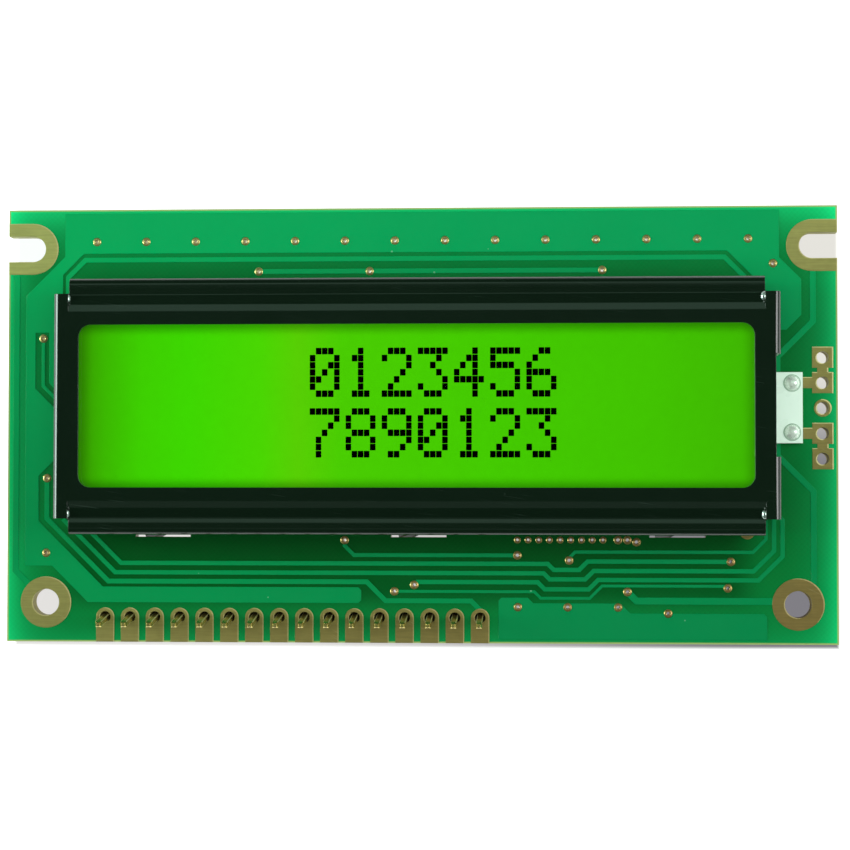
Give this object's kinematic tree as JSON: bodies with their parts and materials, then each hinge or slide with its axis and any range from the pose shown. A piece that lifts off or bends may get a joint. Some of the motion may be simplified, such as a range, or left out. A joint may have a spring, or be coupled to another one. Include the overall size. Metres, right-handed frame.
{
  "type": "character lcd module",
  "caption": "Character LCD module: green circuit board with a black steel frame round a yellow-green lit display, a header row, corner fixing holes and side terminals.",
  "frame": {"origin": "centre of the circuit board's front face, which is the middle of the corner fixing pattern", "axes": "+X along the text to the reader's right, +Y to the top edge of the board, +Z out of the display; the module lies on its back"},
  "size_m": [0.084, 0.044, 0.0154],
  "materials": {
    "green_mask": "glossy green solder mask over glass-fibre laminate",
    "masked_copper": "copper under glossy green solder mask, lighter than the bare laminate",
    "gold": "thin matt gold over nickel and copper",
    "black_steel": "glossy black coating on sheet steel",
    "polariser_film": "clear polarising film, smooth",
    "clear_glass": "clear float glass",
    "seal_resin": "cured epoxy seal",
    "display_green": "bright yellow-green, lit from behind",
    "display_dots": "dark blue-green dots",
    "elastomer": "silicone rubber with conductive layers",
    "white_plastic": "white reflective plastic",
    "clear_plastic": "clear acrylic",
    "white_mask": "white solder mask",
    "emitter_resin": "clear emitter resin",
    "tinned_wire": "tinned copper wire",
    "solder": "bright solder",
    "black_epoxy": "black potting resin, satin",
    "resistor_black": "black overglaze on ceramic",
    "capacitor_tan": "tan ceramic",
    "black_plastic": "black moulded plastic",
    "pin_gold": "gold-plated square pins"
  },
  "bodies": {
    "root": {"circuit_board": "green_mask", "front_tracks": "masked_copper", "rear_tracks": "masked_copper", "plated_vias": "gold", "mounting_rings": "gold", "header_pads": "gold", "terminal_pads": "gold", "strip_contacts": "gold", "bezel": "black_steel", "front_polariser": "polariser_film", "front_glass": "clear_glass", "cell_seal": "seal_resin", "liquid_crystal": "display_green", "character_cells": "display_dots", "rear_glass": "clear_glass", "rear_polariser": "display_green", "upper_contact_strip": "elastomer", "lower_contact_strip": "elastomer", "diffuser_sheet": "white_plastic", "light_guide": "clear_plastic", "backlight_frame": "white_plastic", "backlight_board": "white_mask", "light_emitters": "emitter_resin", "backlight_leads": "tinned_wire", "lead_solder": "solder", "controller_drop": "black_epoxy", "driver_drop": "black_epoxy", "chip_lands": "solder", "resistor_bodies": "resistor_black", "capacitor_bodies": "capacitor_tan", "chip_caps": "solder", "header_insulator": "black_plastic", "header_pins": "pin_gold"}
  },
  "joints": []
}
